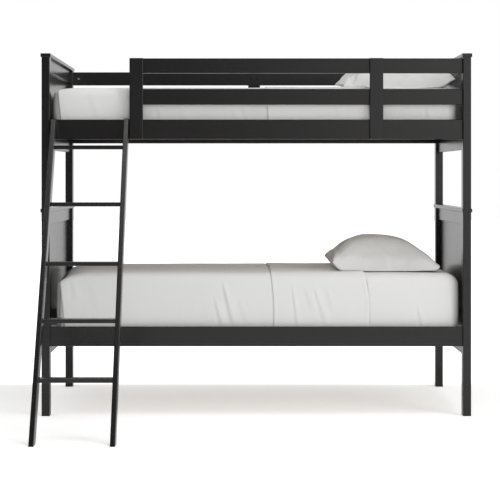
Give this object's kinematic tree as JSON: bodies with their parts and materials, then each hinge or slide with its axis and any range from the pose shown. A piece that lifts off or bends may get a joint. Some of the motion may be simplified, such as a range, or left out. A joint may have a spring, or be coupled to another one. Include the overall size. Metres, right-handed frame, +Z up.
{
  "type": "bunk bed with ladder",
  "caption": "Twin over twin bunk bed in black painted wood, with panelled ends, guard rails, slats, a leaning hook-on ladder, mattresses and pillows.",
  "frame": {"origin": "on the floor, at the middle of the whole piece's bounding box, ladder included", "axes": "+X along the bed towards the pillow end, +Y from the ladder side to the wall side, +Z up"},
  "size_m": [2.006, 1.88, 1.687],
  "materials": {
    "black_paint": "satin black paint over wood",
    "pine": "planed bare pine",
    "steel": "zinc plated",
    "mattress_cotton": "white cotton sheet",
    "pillow_cotton": "white cotton pillowcase"
  },
  "bodies": {
    "lower_bed": {"lower_post_front_left": "black_paint", "lower_post_back_left": "black_paint", "lower_post_front_right": "black_paint", "lower_post_back_right": "black_paint", "lower_cap_left": "black_paint", "lower_cap_right": "black_paint", "lower_cap_dowels": "pine", "lower_end_top_rail_left": "black_paint", "lower_end_top_rail_right": "black_paint", "lower_end_bottom_rail_left": "black_paint", "lower_end_bottom_rail_right": "black_paint", "lower_end_panel_left": "black_paint", "lower_end_panel_right": "black_paint", "lower_side_rail_front": "black_paint", "lower_side_rail_back": "black_paint", "lower_slat_ledges": "black_paint", "lower_slats": "pine", "lower_bolts": "steel", "lower_barrel_nuts": "steel", "stacking_pins": "steel"},
    "upper_bed": {"upper_post_front_left": "black_paint", "upper_post_back_left": "black_paint", "upper_post_front_right": "black_paint", "upper_post_back_right": "black_paint", "upper_cap_left": "black_paint", "upper_cap_right": "black_paint", "upper_cap_dowels": "pine", "upper_end_top_rail_left": "black_paint", "upper_end_top_rail_right": "black_paint", "upper_end_bottom_rail_left": "black_paint", "upper_end_bottom_rail_right": "black_paint", "upper_end_panel_left": "black_paint", "upper_end_panel_right": "black_paint", "upper_side_rail_front": "black_paint", "upper_side_rail_back": "black_paint", "upper_slat_ledges": "black_paint", "upper_slats": "pine", "upper_bolts": "steel", "upper_barrel_nuts": "steel", "guard_top_rail": "black_paint", "guard_mid_rail": "black_paint", "guard_board_left": "black_paint", "guard_board_right": "black_paint", "guard_rail_back": "black_paint", "guard_board_back": "black_paint", "guard_screws": "steel"},
    "ladder": {"ladder_stile_left": "black_paint", "ladder_stile_right": "black_paint", "ladder_step_1": "black_paint", "ladder_step_2": "black_paint", "ladder_step_3": "black_paint", "ladder_step_4": "black_paint", "ladder_step_5": "black_paint", "ladder_hooks": "steel", "ladder_screws": "steel"},
    "lower_mattress": {"lower_mattress": "mattress_cotton"},
    "upper_mattress": {"upper_mattress": "mattress_cotton"},
    "lower_pillow": {"lower_pillow": "pillow_cotton"},
    "upper_pillow": {"upper_pillow": "pillow_cotton"}
  },
  "joints": [
    {"name": "upper_bed_lift", "type": "slide", "parent": "lower_bed", "child": "upper_bed", "axis": [0, 0, 1], "range_m": [0, 0.06]},
    {"name": "ladder_lift", "type": "slide", "parent": "upper_bed", "child": "ladder", "axis": [0, 0, 1], "range_m": [0, 0.06]},
    {"name": "lower_mattress_lift", "type": "slide", "parent": "lower_bed", "child": "lower_mattress", "axis": [0, 0, 1], "range_m": [0, 0.12]},
    {"name": "upper_mattress_lift", "type": "slide", "parent": "upper_bed", "child": "upper_mattress", "axis": [0, 0, 1], "range_m": [0, 0.4]},
    {"name": "lower_pillow_lift", "type": "slide", "parent": "lower_mattress", "child": "lower_pillow", "axis": [0, 0, 1], "range_m": [0, 0.12]},
    {"name": "upper_pillow_lift", "type": "slide", "parent": "upper_mattress", "child": "upper_pillow", "axis": [0, 0, 1], "range_m": [0, 0.15]}
  ]
}
